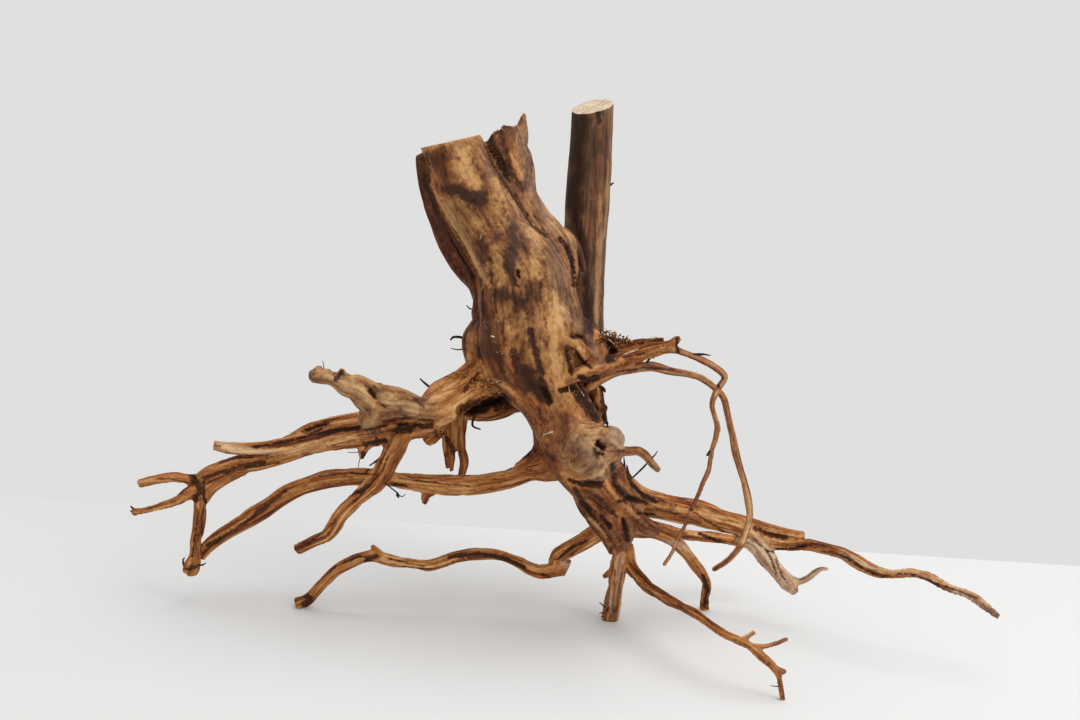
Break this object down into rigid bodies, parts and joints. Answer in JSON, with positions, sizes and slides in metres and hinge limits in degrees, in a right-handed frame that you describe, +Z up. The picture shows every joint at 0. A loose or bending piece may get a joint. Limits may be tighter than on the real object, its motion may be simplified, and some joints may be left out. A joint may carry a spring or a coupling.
{
  "type": "dry tree root",
  "caption": "Dry tree root grown in one piece, with sawn and broken stems, a swollen crown and spreading, forked roots that it stands on.",
  "frame": {"origin": "middle of the tap root's flat foot, on the floor", "axes": "+X to the right along the root's greatest length, +Y away from its front, +Z up"},
  "size_m": [0.4479, 0.1564, 0.2764],
  "materials": {
    "wood": "matte, dry, ridged"
  },
  "bodies": {
    "root": {"dry_root": "wood"}
  },
  "joints": []
}
